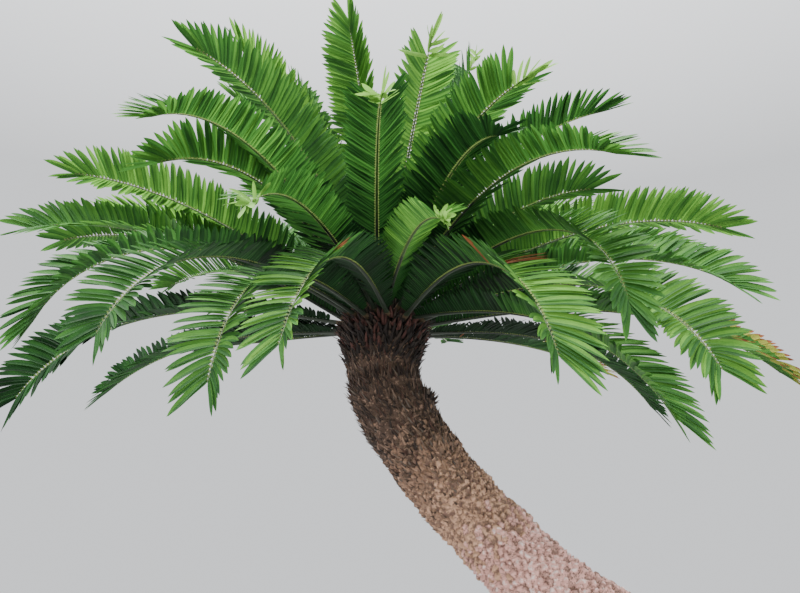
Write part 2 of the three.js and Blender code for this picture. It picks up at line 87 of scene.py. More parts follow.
# The crown's rule, shared with the solids: fronds are numbered from the youngest.
# A pair of values is for the youngest and the oldest, or for the foot and the tip.
FRONDS = 52
SEED = 13535
DRAW_STEP, DRAW_LIMIT = 16807, 2147483647
TURN = 137.508
FIRST_AZIMUTH = 266.3
AZIMUTH_SPREAD = 6
RISE_SINE = (0.967, 0.13)
RISE_POWER = 0.784
RISE_SPREAD = 4
ARCH = (25, 50)
ARCH_FRONT = 31
ARCH_SPREAD = 4
ARCH_POWER = 2
LENGTH = (1.500, 1.800)
LENGTH_AGE_RATE = 1.285
LENGTH_SPREAD = 0.06
TILT_BACK, TILT_RIGHT = 13.2, -2.6
ROLL = 25
FACING = 60
FACING_FROM = 0.25
SWAY = 13.6
SET_BY_EYE = {  # frond: azimuth, rise, arch, length and sway added to the rule
    0: (24.5, -5, -0.5, -0.12, -5.5),
    1: (11.5, 26.5, -29, 0.28, -0.5),
    2: (10.5, 3.5, -10.5, 0.05, 1.5),
    3: (14.5, 3, 23, 0.07, 10),
    5: (-5.5, 13, 20.5, 0.13, -13),
    6: (-5.5, 25, -22.5, 0.22, -5.5),
    7: (18, 8.5, 11, 0.2, 8),
    8: (9.5, 0.5, 10.5, 0.04, 7.5),
    10: (8, 22, 1.5, 0.1, -2),
    11: (0, 8, 14, -0.3, 0),
    12: (25, -12, 0, 0, 0),
    13: (21.5, -6.5, 7.5, -0.05, 11),
    14: (-10, 0, 10, 0.08, 0),
    15: (16.5, -14.5, 1.5, 0.24, -4),
    16: (-22, -4, 17, -0.02, 7.5),
    18: (14.5, 0.5, 24, -0.05, -2),
    19: (-9.5, 1, 16, 0.1, 4),
    20: (12, -12, 10, 0.1, 0),
    21: (4, -13.5, -11, -0.08, 0),
    23: (4.5, 0.5, -4, 0.04, 2.5),
    24: (-17, -7.5, 43, 0.14, -9.5),
    26: (7.5, 10, 17.5, 0.12, 3.5),
    27: (-12, 0, 14, 0.1, 0),
    28: (25, 4, 8, 0.1, 0),
    29: (-5, 5.5, 5.5, 0.05, 8.5),
    31: (11.5, -0.5, 40, 0, 4),
    32: (-4.5, 0.5, 18, -0.03, -3.5),
    33: (15, 0, 0, 0, 0),
    34: (-10.5, -1, -6.5, -0.01, -5),
    35: (-22, -2, 6, 0.1, 0),
    36: (9.5, 3.5, 6, 0.05, 0),
    37: (-1, -15.5, -7.5, -0.1, -0.5),
    39: (10.5, 0.5, 11, 0.01, -0.5),
    40: (-14.5, -9.5, 8, 0.21, -3),
    41: (-6, -13, -41, -0.01, 9),
    42: (-18, 0.5, 0, 0.02, -4.5),
    43: (-12, -15.5, -21, 0.01, -4.5),
    44: (-9, -2.5, 14, 0, -1.5),
    45: (-15, 5.5, 13.5, -0.07, -8),
    46: (19.5, -8.5, -36, 0.01, 11),
    47: (3.5, 3.5, -0.5, -0.01, 4),
    49: (-13, -8.5, -16, -0.08, 2.5),
    50: (-17, 10.5, -6.5, 0.07, -7),
    51: (0, 4, -20, 0, 0),
}
TURNED_BY_EYE = {  # frond: turn about its own rib
    15: 30, 18: 35, 19: -40, 23: 50, 29: -25, 36: -20, 39: 12, 42: 4, 47: 12, 50: -62,
}
RIB_WIDTH = (0.036, 0.006)
RIB_HEIGHT = (0.030, 0.005)
FIRST_LEAFLET = 0.10
LEAFLET_LENGTH = 0.200
LEAFLET_SWEEP = (8, 34)
SWEEP_POWER = 2.5
TIP_FAN = 34
LEAFLET_RAISE = 38

# Leaflets and ribs, finer than the solids'. Places are shares of the rib.
RIB_SLIM = (0.78, 0.50)  # how thick it is beside the solids' rib, near the foot and further out
RIB_FOOT_SWELL = 0.55
# Where the rib's brown foot ends, and how far out from the head its painted shade reaches on the
# youngest frond.
RIB_FOOT_END, RIB_SHADE_END = 0.045, 0.30
LEAFLET_PITCH = 0.0168
LEAFLET_WIDTH = 0.0285
LEAFLET_ENDS = (0.07, 0.995)  # the first and the last leaflet
LEAFLET_SHARE = {  # frond: how long its leaflets are beside the rule's
    13: 0.86, 16: 0.86, 21: 0.62, 24: 0.9, 26: 0.88, 29: 0.88, 34: 0.72, 37: 0.9, 39: 0.86,
    42: 0.86, 47: 0.86,
}
# Places along a leaflet, and how wide it is there.
BLADE_MARKS = np.array([0.0, 0.035, 0.12, 0.26, 0.42, 0.58, 0.72, 0.84, 0.93, 1.0])
BLADE_WIDTH = np.array([0.44, 0.56, 0.84, 0.97, 1.0, 1.0, 0.93, 0.72, 0.40, 0.03])
BLADE_CHANNEL = 0.34  # depth of its channel as a share of its half width
# How much the leaflets differ, and what a tuft adds to that.
SWEEP_SPREAD = (4, 48)
RAISE_SPREAD = (5, 60)
SLANT_SPREAD = (6, 40)
TWIST_SPREAD = (0.25, 0.8)
# On young and on old fronds.
SLANT = (15, 5)
WEEP = (0.03, 0.14)
TUFTS = {  # frond: size of the pale unruly tuft at its tip
    0: 1.0, 2: 0.95, 4: 0.8, 6: 0.6, 8: 1.0, 12: 0.7, 13: 0.9, 17: 0.7, 21: 0.5, 34: 0.7,
}
TUFT_FROM = 0.92
TUFT_LENGTH = 0.62 * LEAFLET_LENGTH
LIGHT_SHARE = 0.62  # share of a frond's leaflets in the lighter of its greens
SHADE_REACH = (0.24, 0.52)  # how far from the head the leaflets are in deep shade
SHADE_EDGE = 0.14
DRY_CHANCE, DRY_FROM_AGE, DRY_BEFORE = 0.020, 0.55, 0.85
SINGED = (40, 43)  # fronds whose leaflets yellow and dry at the tip
YELLOW_FROM, SINGED_FROM = 0.72, 0.78
YELLOW_STEP, SINGED_STEP = 5, 7  # the steps of the blade from which it shows
WITHERED = {42: (0.72, 1), 50: (0.66, 1)}  # frond: place and row of its dead leaflets
WITHERED_REACH = 0.014
# Painted shade: the leaflets of these fronds take a green two steps deeper on one half, those of
# the rest one step.
SHADE_COMBED = (42, 45, 47, 50)  # fronds whose leaflets have a plainly darker half

# Bark: the old leaf bases are knobs in rows round the trunk.
KNOB_ROW = 0.0290
KNOBS_ROUND = 36
KNOB_ROW_DRIFT = 0.031
KNOB_SLIP, KNOB_LIFT = 0.30, 0.28  # how far a knob is off its place, in knobs and rows
KNOB_RISE = (0.007, 0.019)  # the lowest and the highest
KNOB_EDGE = 0.026
KNOB_TILT = 0.60  # how much more its upper part stands out
KNOB_SQUASH = 1.05  # how much shorter it is up the trunk than round it
TRUNK_COLUMNS = 270
PUSH, PUSH_FAR = 0.0085, 0.012  # how far the rows of knobs are pushed out of line
BROAD_SWELL = 0.35  # how much broad lumps change the knobs
LUMP_RISE, CRUMB_RISE = 0.0028, 0.0018
SKIN_SINK = 0.010  # how far the gaps between knobs lie under the solid's surface
NECK_RELIEF = 0.35  # what is left of the relief under the neck's scales
OCHRE_FROM, BROWN_FROM, DARK_FROM = 0.452, 0.580, 0.665  # shares of the trunk
# Shares of the trunk from which the painted shade in the gaps between knobs turns brown, then dark.
GAP_SHADE_BROWN_FROM, GAP_SHADE_DARK_FROM = 0.62, 0.67
DULL_BEFORE, DULL_VARIES = 0.33, 0.25

# Dry scales. A pair of values is for the lower and the upper end, or for the middle and the rim.
SCALE_STEPS = 6
SCALE_SIDES = 6
NARROWEST_TIP = 0.03
NECK = (0.512, 0.962)  # the share of the trunk that has scales
NECK_LEAN = (30, 19)
NECK_LENGTH = (0.022, 0.058)
NECK_WIDTH = (0.0125, 0.0130)
NECK_ROOT = (0.006, 0.010)  # how deep its scales are rooted
FRINGE_RADIUS = (0.174, 0.216)
FRINGE_LEAN = (26, 60)
FRINGE_LENGTH, FRINGE_WIDTH = (0.052, 0.062), 0.0215
HEAD_REACH = 0.208
HEAD_LEAN = (4, 52)
HEAD_LENGTH, HEAD_WIDTH = (0.085, 0.070), 0.023
BUD_LENGTH, BUD_WIDTH = 0.42, 0.36  # shares of the bud's radius
CHIP_LENGTH = (0.012, 0.034)  # the shortest and the longest

UP = np.array([0.0, 0.0, 1.0])
chance = np.random.default_rng(2026)


# Small sums on arrays of points.
def unit(v):
    """Each v at length 1."""
    return v / np.linalg.norm(v, axis=-1, keepdims=True)


def mix(a, b, t):
    """From a, where t is 0, to b, where it is 1."""
    return a + (b - a) * t


def ease(low, high, x):
    """A soft step from 0 to 1 between low and high."""
    t = np.clip((x - low) / (high - low), 0, 1)
    return t * t * (3 - 2 * t)


def spread(size, shape):
    """Draws between -size and size."""
    return chance.uniform(-size, size, shape)


def swung(v, towards, angle):
    """Each v turned by an angle towards a direction that is square to it."""
    angle = np.asarray(angle)[..., None]
    return v * np.cos(angle) + towards * np.sin(angle)


def circle(columns):
    """Angles for once round, evenly apart."""
    return np.linspace(0, 2 * math.pi, columns, endpoint=False)


def ring(turn):
    """Level directions at these angles."""
    return np.stack([np.cos(turn), np.sin(turn), 0 * turn], -1)


def spiral(count, first=0.0):
    """Angles that are each one golden turn on from the last."""
    return np.radians(TURN) * np.arange(count) + first


# Meshes from arrays. A shape is its points, its faces and the finish number of each face.
def tube_points(spine, right, up, half_width, half_height, sides):
    """Rings of points round spines: (..., steps, sides, 3)."""
    turn = 2 * math.pi * (np.arange(sides) + 0.5) / sides
    across = right[..., None, :] * (half_width[..., None] * np.cos(turn))[..., None]
    over = up[..., None, :] * (half_height[..., None] * np.sin(turn))[..., None]
    return spine[..., None, :] + across + over


def turned_points(profile, columns):
    """Rings of points from rows of radius and height."""
    return ring(circle(columns))[None] * profile[:, 0, None, None] + UP * profile[:, 1, None, None]


def tube_shape(points, tints):
    """One or more tubes from their rings of points, with the tints dealt out in order."""
    steps, sides = points.shape[-3:-1]
    grid = np.arange(points.size // 3).reshape(-1, steps, sides)
    near, far = grid[:, :-1], grid[:, 1:]
    faces = np.stack([near, np.roll(near, -1, 2), np.roll(far, -1, 2), far], -1).reshape(-1, 4)
    return points.reshape(-1, 3), faces, np.repeat(tints, len(faces) // np.size(tints))


def sheet_shape(points, tints):
    """Open sheets from their rows of points."""
    steps, across = points.shape[-3:-1]
    grid = np.arange(points.size // 3).reshape(-1, steps, across)
    near, far = grid[:, :-1], grid[:, 1:]
    faces = np.stack([near[..., :-1], near[..., 1:], far[..., 1:], far[..., :-1]], -1)
    return points.reshape(-1, 3), faces.reshape(-1, 4), tints.ravel()


def joined(shapes):
    """Several shapes as one."""
    starts = np.cumsum([0] + [len(points) for points, _, _ in shapes[:-1]])
    faces = [faces + start for (_, faces, _), start in zip(shapes, starts)]
    return (
        np.vstack([points for points, _, _ in shapes]),
        np.vstack(faces),
        np.concatenate([tints for _, _, tints in shapes]),
    )


def make_piece(name, shape, finishes, replaces=()):
    """One mesh piece of the plant, on its body."""
    points, faces, tints = shape
    mesh = bpy.data.meshes.new(name)
    mesh.vertices.add(len(points))
    mesh.vertices.foreach_set("co", points.astype(np.float32).ravel())
    mesh.loops.add(faces.size)
    mesh.loops.foreach_set("vertex_index", faces.astype(np.int32).ravel())
    mesh.polygons.add(len(faces))
    mesh.polygons.foreach_set("loop_start", np.arange(0, faces.size, 4, dtype=np.int32))
    mesh.update(calc_edges=True)
    for finish in finishes:
        mesh.materials.append(finish)
    mesh.polygons.foreach_set("material_index", tints.astype(np.int32))
    mesh.polygons.foreach_set("use_smooth", np.full(len(faces), True))
    mesh.validate()
    piece = bpy.data.objects.new(name, mesh)
    bpy.context.scene.collection.objects.link(piece)
    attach(piece, "root")
    if replaces:
        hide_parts(*replaces)


# Finishes, written as expressions.
class Value:
    """A number or colour that comes out of a shader node."""

    def __init__(self, finish, socket):
        self.finish = finish
        self.socket = socket

    def __add__(self, other):
        return self.finish.node("Math", {0: self, 1: other}, operation="ADD")

    __radd__ = __add__

    def __mul__(self, other):
        return self.finish.node("Math", {0: self, 1: other}, operation="MULTIPLY")

    __rmul__ = __mul__


class Finish:
    """One material and its shader tree."""

    def __init__(self, name):
        self.material = bpy.data.materials.new(name)
        self.material.use_nodes = True
        self.tree = self.material.node_tree
        self.tree.nodes.clear()

    def node(self, kind, sockets=(), output=0, **settings):
        """Adds a node, fills its sockets and gives the value of one output."""
        made = self.tree.nodes.new("ShaderNode" + kind)
        for key, value in settings.items():
            setattr(made, key, value)
        for key, value in dict(sockets).items():
            if isinstance(value, Value):
                self.tree.links.new(value.socket, made.inputs[key])
            else:
                made.inputs[key].default_value = value
        return Value(self, made.outputs[output]) if made.outputs else None

    def place(self):
        return self.node("TexCoord", output="Object")

    def noise(self, scale, detail, roughness=0.55, place=None):
        sockets = {"Scale": scale, "Detail": detail, "Roughness": roughness}
        return self.node("TexNoise", {"Vector": place or self.place(), **sockets})

    def between(self, low, high, value):
        """0 where the value is low, 1 where it is high."""
        return self.node("MapRange", {"Value": value, "From Min": low, "From Max": high})

    def blend(self, share, first, second):
        """From the first colour to the second; a plain colour is red, green and blue."""
        first, second = (c if isinstance(c, Value) else (*c, 1) for c in (first, second))
        return self.node("Mix", {0: share, 6: first, 7: second}, output=2, data_type="RGBA")

    def bump(self, height, distance, strength=1.0):
        return self.node("Bump", {"Height": height, "Distance": distance, "Strength": strength})

    def skin(self, colour, roughness, **sockets):
        given = {"Base Color": colour, "Roughness": roughness, **sockets}
        return self.node("BsdfPrincipled", given)

    def done(self, shader):
        self.node("OutputMaterial", {"Surface": shader})
        return self.material


def leaf_finish(name, light, dark, through, gloss=0.56):
    """Living leaf: two greens in soft patches, a thin waxy sheen, and light coming through."""
    leaf = Finish(name)
    patches = leaf.noise(7.0, 2.0)
    fibres = leaf.noise(140.0, 2.0)
    colour = leaf.blend(leaf.between(0.35, 0.65, patches * 0.75 + fibres * 0.25), dark, light)
    sheen = {"Normal": leaf.bump(fibres, 0.0012, 0.5), "Specular IOR Level": 0.10}
    skin = leaf.skin(colour, gloss + 0.16 * patches, **sheen)
    glow = leaf.node("BsdfTranslucent", {"Color": (*[min(1.0, 1.7 * c) for c in light], 1)})
    return leaf.done(leaf.node("MixShader", {0: through, 1: skin, 2: glow}))


def plain_finish(name, light, dark, scale, roughness, depth=0.001):
    """A dry, mottled surface: scales, ribs, bark, soil."""
    dry = Finish(name)
    patches = dry.noise(scale, 4.0, 0.6)
    grains = dry.noise(scale * 9, 3.0)
    colour = dry.blend(dry.between(0.36, 0.64, 0.6 * patches + 0.4 * grains), dark, light)
    return dry.done(dry.skin(colour, roughness, Normal=dry.bump(grains, depth)))


def pot_finish():
    """Fired clay with a dry bloom, darker where damp rises from the foot."""
    clay = Finish("pot_clay")
    place = clay.place()
    height = clay.node("SeparateXYZ", {"Vector": place}, output="Z")
    cloud = clay.noise(4.0, 5.0, 0.6, place)
    grains = clay.noise(90.0, 4.0, 0.6, place)
    dry = clay.between(0.10, 0.42, height + 0.25 * cloud)
    base = clay.blend(dry, (0.24, 0.115, 0.070), (0.42, 0.215, 0.135))
    bloom = clay.between(0.50, 0.72, cloud)
    colour = clay.blend(0.55 * bloom, base, (0.60, 0.50, 0.43))
    return clay.done(clay.skin(colour, 0.78 + 0.15 * grains, Normal=clay.bump(grains, 0.0015)))


def floor_finish():
    floor = Finish("studio_floor")
    return floor.done(floor.skin((0.42, 0.42, 0.41, 1), 0.9))


LEAVES = [
    leaf_finish("leaf_fresh", (0.130, 0.312, 0.044), (0.059, 0.170, 0.025), 0.25),
    leaf_finish("leaf_fresh_deep", (0.070, 0.200, 0.029), (0.030, 0.104, 0.017), 0.21),
    leaf_finish("leaf_green", (0.040, 0.139, 0.022), (0.018, 0.069, 0.013), 0.15),
    leaf_finish("leaf_green_deep", (0.022, 0.090, 0.015), (0.010, 0.043, 0.010), 0.11),
    leaf_finish("leaf_deep", (0.012, 0.056, 0.011), (0.005, 0.026, 0.006), 0.07),
    leaf_finish("leaf_shade", (0.005, 0.026, 0.006), (0.002, 0.010, 0.003), 0.04),
    leaf_finish("leaf_pale", (0.170, 0.345, 0.065), (0.090, 0.215, 0.030), 0.22),
    leaf_finish("leaf_yellowing", (0.238, 0.245, 0.042), (0.142, 0.168, 0.027), 0.15),
    leaf_finish("leaf_dry", (0.230, 0.080, 0.028), (0.110, 0.036, 0.016), 0.08, 0.6),
    leaf_finish("leaf_callus", (0.160, 0.210, 0.060), (0.100, 0.140, 0.040), 0.12),
]
FRESH, FRESH_DEEP, GREEN, GREEN_DEEP, DEEP, SHADE, PALE, YELLOWING, DRY, CALLUS = range(10)
# Partly painted light and shade: lit fronds take lighter greens, shaded ones deeper greens, and
# (DEEP, SHADE) the darkest.
FRONDS_OF_GREENS = {  # the two greens of fronds that don't take them from their age
    (FRESH, FRESH_DEEP): (0, 1, 10, 19, 21, 23, 28, 45, 50),
    (FRESH, GREEN): (42,),
    (FRESH_DEEP, GREEN): (2, 5, 7, 8, 11, 15, 18, 24, 26, 29, 32, 34, 36, 37, 40, 47),
    (GREEN, GREEN_DEEP): (3, 6, 13, 31, 39),
    (GREEN_DEEP, DEEP): (16, 43, 44, 49),
    (DEEP, SHADE): (41, 46),
}
FROND_GREENS = {i: greens for greens, fronds in FRONDS_OF_GREENS.items() for i in fronds}
RIBS = [
    plain_finish("rib_green", (0.040, 0.095, 0.014), (0.018, 0.045, 0.008), 9.0, 0.5),
    plain_finish("rib_shade", (0.010, 0.022, 0.007), (0.004, 0.009, 0.004), 9.0, 0.55),
    plain_finish("rib_foot", (0.110, 0.075, 0.035), (0.045, 0.030, 0.018), 20.0, 0.75),
]
RIB_GREEN, RIB_SHADE, RIB_FOOT = range(3)
# The highlight barks are painted highlight and the gap barks painted shade; the dull rosy and dark
# brown barks are real tones that also serve as painted shade.
BARKS = [
    plain_finish("bark_" + name, light, dark, 38.0, roughness, depth)
    for name, light, dark, roughness, depth in (
        ("rosy", (0.950, 0.548, 0.482), (0.700, 0.372, 0.314), 0.8, 0.006),
        ("rosy_highlight", (1.000, 0.830, 0.800), (0.920, 0.650, 0.600), 0.75, 0.006),
        ("rosy_dull_and_shade", (0.625, 0.355, 0.300), (0.375, 0.205, 0.169), 0.85, 0.006),
        ("ochre_highlight", (0.800, 0.492, 0.338), (0.520, 0.300, 0.196), 0.82, 0.006),
        ("ochre", (0.480, 0.284, 0.186), (0.270, 0.153, 0.100), 0.86, 0.006),
        ("brown", (0.340, 0.210, 0.150), (0.170, 0.102, 0.072), 0.88, 0.006),
        ("brown_dark_and_shade", (0.150, 0.090, 0.064), (0.062, 0.037, 0.026), 0.9, 0.006),
        ("gap_shade", (0.280, 0.160, 0.125), (0.140, 0.080, 0.062), 0.9, 0.004),
        ("gap_deep_shade", (0.075, 0.045, 0.034), (0.028, 0.017, 0.013), 0.9, 0.004),
    )
]
ROSY, ROSY_HIGHLIGHT, ROSY_DULL_AND_SHADE, OCHRE_HIGHLIGHT, OCHRE, BROWN, BROWN_DARK_AND_SHADE, GAP_SHADE, GAP_DEEP_SHADE = range(9)
SCALES = [
    plain_finish("scale_" + name, light, dark, 30.0, 0.85)
    for name, light, dark in (
        ("brown", (0.100, 0.060, 0.042), (0.038, 0.022, 0.016)),
        ("dark", (0.040, 0.023, 0.017), (0.014, 0.008, 0.006)),
        ("tan", (0.230, 0.150, 0.108), (0.105, 0.065, 0.047)),
        ("grey", (0.165, 0.128, 0.104), (0.066, 0.047, 0.038)),
        ("russet", (0.110, 0.052, 0.036), (0.042, 0.019, 0.014)),
        ("ochre", (0.420, 0.260, 0.176), (0.220, 0.130, 0.088)),
    )
]
SCALE_BROWN, SCALE_DARK, SCALE_TAN, SCALE_GREY, SCALE_RUSSET, SCALE_OCHRE = range(6)
COLLARS = [
    plain_finish("collar_russet", (0.084, 0.027, 0.021), (0.026, 0.009, 0.007), 34.0, 0.88),
    plain_finish("collar_dark", (0.016, 0.009, 0.007), (0.006, 0.003, 0.003), 34.0, 0.9),
    plain_finish("collar_brown", (0.046, 0.027, 0.019), (0.015, 0.009, 0.006), 34.0, 0.88),
]
COLLAR_RUSSET, COLLAR_DARK, COLLAR_BROWN = range(3)
LOAM = plain_finish("soil_loam", (0.075, 0.046, 0.030), (0.022, 0.014, 0.010), 40.0, 0.95, 0.006)


# The crown.
def make_draws(seed):
    """The row of draws between -1 and 1 that the solids are grown with."""
    state = seed
    while True:
        state = state * DRAW_STEP % DRAW_LIMIT
        yield 2 * state / DRAW_LIMIT - 1


def frond_rule(i, draw):
    """How frond i leaves the head, from its place in the spiral."""
    age = i / (FRONDS - 1)
    j = [next(draw) for _ in range(6)]
    turned_by, raised_by, arched_by, longer_by, swayed_by = SET_BY_EYE.get(i, (0, 0, 0, 0, 0))
    azimuth = FIRST_AZIMUTH + i * TURN + AZIMUTH_SPREAD * j[0]
    to_back = math.sin(math.radians(azimuth))
    to_right = math.cos(math.radians(azimuth))
    rise = math.degrees(math.asin(mix(*RISE_SINE, age ** RISE_POWER)))
    lean = TILT_BACK * to_back + TILT_RIGHT * to_right
    droop = ARCH_FRONT * max(0, -to_back) * age
    size = mix(*LENGTH, min(1, age * LENGTH_AGE_RATE))
    facing = FACING * to_right * max(0, age - FACING_FROM) / (1 - FACING_FROM)
    return {
        "i": i,
        "age": age,
        "foot": FIRST_AZIMUTH + i * TURN,
        "azimuth": azimuth + turned_by,
        "rise": rise + RISE_SPREAD * j[1] + lean + raised_by,
        "arch": mix(*ARCH, age) + ARCH_SPREAD * j[2] + droop + arched_by,
        "length": size * (1 + LENGTH_SPREAD * j[3]) + longer_by,
        "roll": ROLL * j[4] + facing + TURNED_BY_EYE.get(i, 0),
        "sway": SWAY * j[5] + swayed_by,
    }


def rib_frame(rule, s):
    """Directions at shares s of the rib: along it, across the blade, and out of its upper face."""
    climb = np.radians(rule["rise"] - rule["arch"] * s ** ARCH_POWER)
    heading = np.radians(rule["azimuth"] + rule["sway"] * s * s)
    along = swung(ring(heading), UP, climb)
    across = ring(heading + math.pi / 2)
    upper = np.cross(along, across)
    turn = np.radians(rule["roll"] * s)
    return along, swung(across, upper, turn), swung(upper, -across, turn)


def rib_line(rule, s, steps=96):
    """Points at shares s of the rib, which starts inside the head."""
    out = FROND_RING_RADIUS * math.sqrt((rule["i"] + 0.5) / FRONDS)
    height = FROND_RING_RISE * (1 - (out / FROND_RING_RADIUS) ** 2)
    foot = HEAD + out * ring(math.radians(rule["foot"])) + height * UP
    along, _, _ = rib_frame(rule, (np.arange(steps) + 0.5) / steps)
    line = np.vstack([foot, foot + np.cumsum(along, 0) * rule["length"] / steps])
    marks = np.linspace(0, 1, steps + 1)
    return np.stack([np.interp(s, marks, line[:, k]) for k in range(3)], -1)


def leaflet_length(s):
    """Short near the head, soon full, and a little shorter again at the tip."""
    start = np.clip(0.35 + 2.6 * (s - FIRST_LEAFLET), 0.2, 1)
    end = 1 - 0.15 * np.maximum(0, (s - 0.8) / 0.2) ** 1.5
    return LEAFLET_LENGTH * start * end


def blade_points(root, reach, edge, face, length, width, hook, droop, twist):
    """Blades from their roots: narrow foot, long curved edges, shallow channel and sharp tip."""
    u = BLADE_MARKS[None, :, None]
    spine = root[:, None] + reach[:, None] * (length[:, None, None] * u)
    spine = spine + hook[:, None] * (length[:, None, None] * u * u)
    spine = spine - UP * (droop * length)[:, None, None] * u * u
    across = swung(edge[:, None], face[:, None], twist[:, None] * BLADE_MARKS)
    half = (width[:, None] * BLADE_WIDTH / 2)[..., None]
    middle = spine - face[:, None] * half * BLADE_CHANNEL
    return np.stack([spine - across * half, middle, spine + across * half], 2)


def frond_greens(rule):
    """The lighter and the deeper green of a frond, from its age and its place in the light."""
    luck = chance.random()
    if rule["i"] in FROND_GREENS:
        return FROND_GREENS[rule["i"]]
    if rule["age"] < 0.30:
        return (FRESH, FRESH_DEEP) if luck < 0.6 else (FRESH_DEEP, GREEN)
    if rule["age"] < 0.62:
        return (FRESH_DEEP, GREEN) if luck < 0.45 else (GREEN, GREEN_DEEP)
    if luck < 0.25:
        return FRESH_DEEP, GREEN
    return (GREEN, GREEN_DEEP) if luck < 0.55 else (GREEN_DEEP, DEEP)


def leaflet_tints(rule, s, hand, tuft):
    """The finish of each leaflet: its frond's two greens, shade near the head, a few dry ones."""
    light, deep = frond_greens(rule)
    tints = np.where(chance.random(len(s)) < LIGHT_SHARE, light, deep)
    shaded = mix(*SHADE_REACH, rule["age"]) + spread(0.05, len(s))
    tints = np.where(s < shaded + SHADE_EDGE, deep, tints)
    tints = np.where(s < shaded, min(deep + 2, SHADE), tints)
    dry = chance.random(len(s)) < DRY_CHANCE * max(0.0, rule["age"] - DRY_FROM_AGE)
    tints = np.where(dry & (s < DRY_BEFORE), DRY, tints)
    if rule["i"] in WITHERED:
        place, row = WITHERED[rule["i"]]
        tints = np.where((np.abs(s - place) < WITHERED_REACH) & (hand == row), DRY, tints)
    return np.where(tuft, PALE, tints)


def blade_tints(rule, s, hand, tuft):
    """The finish of each face of the leaflets: a callus at the foot, and painted shade on one half.
    """
    steps = len(BLADE_MARKS) - 1
    tints = np.repeat(leaflet_tints(rule, s, hand, tuft)[:, None], steps, 1)
    tints[:, 0] = CALLUS
    if rule["i"] in SINGED:
        tints[s > YELLOW_FROM, YELLOW_STEP:] = YELLOWING
        tints[s > SINGED_FROM, SINGED_STEP:] = DRY
    # Painted shade: one half of each leaflet takes a deeper green.
    halves = np.repeat(tints, 2, 1)
    outer = halves[:, 1::2]
    deeper = np.minimum(outer + (2 if rule["i"] in SHADE_COMBED else 1), SHADE)
    halves[:, 1::2] = np.where(outer < SHADE, deeper, outer)
    return halves


def frond_leaflets(rule):
    """The shape of all the leaflets of one frond."""
    pairs = int(rule["length"] * (1 - FIRST_LEAFLET) / LEAFLET_PITCH)
    count = 2 * pairs
    hand = np.tile([-1.0, 1.0], pairs)
    s = np.repeat(np.linspace(*LEAFLET_ENDS, pairs), 2)
    s = np.clip(s + hand * 0.15 / pairs + spread(0.10 / pairs, count), 0, 0.998)
    tuft = (s > TUFT_FROM) & (rule["i"] in TUFTS)

    def loose(size, in_tuft):
        """Draws for each leaflet, wider in a tuft."""
        return spread(size, count) + tuft * spread(in_tuft, count)

    along, side, upper = rib_frame(rule, s)
    foot_sweep, tip_sweep = LEAFLET_SWEEP
    tip_sweep = tip_sweep * (1 - 0.45 * ease(0.5, 1.0, rule["age"]))
    sweep = mix(foot_sweep, tip_sweep, s ** SWEEP_POWER) + TIP_FAN * ease(0.88, 1.0, s)
    sweep = np.radians(sweep + loose(*SWEEP_SPREAD))
    raised = LEAFLET_RAISE - 5 * ease(0.1, 0.6, s) * ease(0.2, 0.8, rule["age"])
    out = swung(side * hand[:, None], upper, np.radians(raised + loose(*RAISE_SPREAD)))
    reach = unit(swung(out, along, sweep))
    edge = unit(along - reach * (along * reach).sum(-1, keepdims=True))
    face = np.cross(reach, edge) * -hand[:, None]
    slant = mix(*SLANT, ease(0.35, 0.75, rule["age"])) + loose(*SLANT_SPREAD)
    slant = -hand * np.radians(slant)
    edge, face = (swung(v, np.cross(reach, v), slant) for v in (edge, face))

    root = rib_line(rule, s) + side * (hand * mix(*RIB_WIDTH, s) * 0.22)[:, None]
    root = root + upper * (mix(*RIB_HEIGHT, s) * 0.12)[:, None]
    length = leaflet_length(s) * LEAFLET_SHARE.get(rule["i"], 1) * (1 + spread(0.05, count))
    in_tuft = TUFT_LENGTH * TUFTS.get(rule["i"], 1) * (1 + spread(0.2, count))
    length = np.where(tuft, in_tuft, length)
    width = LEAFLET_WIDTH * np.clip(length / LEAFLET_LENGTH, 0.7, 1) * (1 + spread(0.08, count))
    hook = along * (0.05 + 0.05 * chance.random(count))[:, None]
    weep = mix(*WEEP, ease(0.35, 0.80, rule["age"]))
    droop = weep + 0.03 * chance.random(count) + tuft * spread(0.14, count)
    twist = loose(*TWIST_SPREAD)
    points = blade_points(root, reach, edge, face, length, width, hook, droop, twist)
    return sheet_shape(points, blade_tints(rule, s, hand, tuft))


def frond_rib(rule, steps=30, sides=8):
    """The shape of one rib: swollen at its foot, with painted shade near the head."""
    s = np.linspace(0, 1, steps) ** 1.15
    _, side, upper = rib_frame(rule, s)
    swell = 1 + RIB_FOOT_SWELL * np.exp(-((s / 0.035) ** 2))
    slim = mix(*RIB_SLIM, ease(0.0, 0.35, s))
    half_width = mix(*RIB_WIDTH, s) / 2 * swell * slim
    half_height = mix(*RIB_HEIGHT, s) / 2 * (1 + 0.15 * (swell - 1)) * slim
    points = tube_points(rib_line(rule, s), side, upper, half_width, half_height, sides)
    near = s[:-1]
    # Painted shade: past its foot the rib is near black out to a share that grows with the frond's
    # age.
    parts = [near < RIB_FOOT_END, near < RIB_SHADE_END + 0.3 * rule["age"]]
    return tube_shape(points, np.select(parts, [RIB_FOOT, RIB_SHADE], RIB_GREEN))


def frond_slot(age):
    """The slot name for a frond of this age: young, grown or old."""
    return "frond_young" if age < 0.3 else "frond_grown" if age < 0.7 else "frond_old"


def grow_crown():
    """A piece for the leaflets of each frond, and one for all the ribs."""
    draw = make_draws(SEED)
    rules = [frond_rule(i, draw) for i in range(FRONDS)]
    for rule in rules:
        name = f"frond_{rule['i'] + 1:02d}"
        slot = frond_slot(rule["age"])
        make_piece(name + "_leaflets", frond_leaflets(rule), LEAVES, [name])
    make_piece("frond_ribs", joined([frond_rib(rule) for rule in rules]), RIBS)


